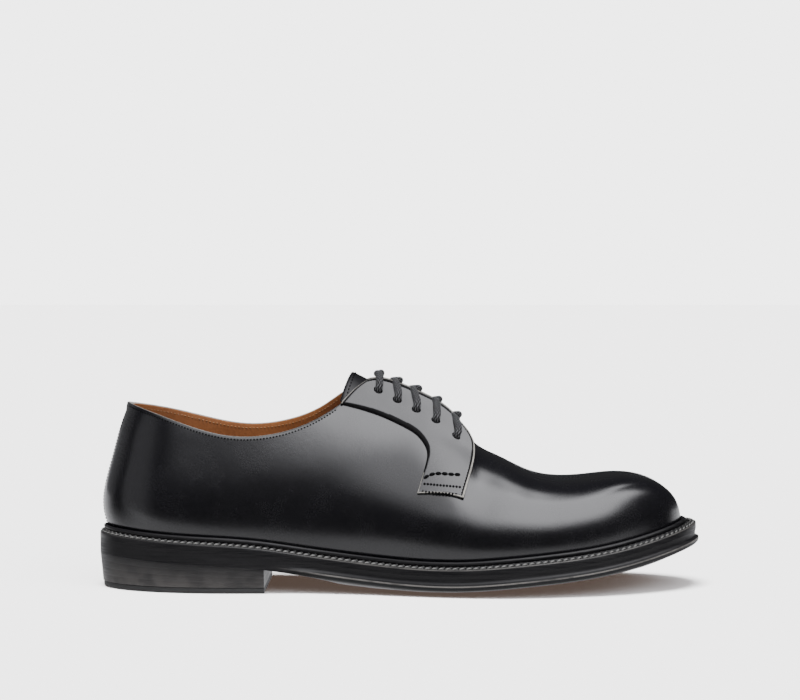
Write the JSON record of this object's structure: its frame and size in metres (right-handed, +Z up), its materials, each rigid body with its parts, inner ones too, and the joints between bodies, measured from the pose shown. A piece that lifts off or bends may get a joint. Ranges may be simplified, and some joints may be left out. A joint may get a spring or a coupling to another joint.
{
  "type": "derby shoe",
  "caption": "Plain-toe derby shoe for the right foot, black leather on a welted leather sole with a stacked heel, laced with straight bars and standing empty.",
  "frame": {"origin": "on the floor, under the middle of the sole's bounding box", "axes": "+X to the toe, -Y to the outer side of the right foot, +Z up"},
  "size_m": [0.3046, 0.1101, 0.1111],
  "materials": {
    "black_leather": "high gloss, brushed off",
    "tan_leather": "matt lining leather",
    "sole_leather": "satin blacked edge",
    "lace_cotton": "waxed round braid",
    "rubber": "matt"
  },
  "bodies": {
    "root": {"upper": "black_leather", "facing_lateral": "black_leather", "facing_medial": "black_leather", "tongue": "black_leather", "insole": "tan_leather", "welt": "sole_leather", "outsole": "sole_leather", "heel_stack": "sole_leather", "heel_top_lift": "rubber", "lace_bar_1": "lace_cotton", "lace_bar_2": "lace_cotton", "lace_bar_3": "lace_cotton", "lace_bar_4": "lace_cotton", "lace_bar_5": "lace_cotton"}
  },
  "joints": []
}
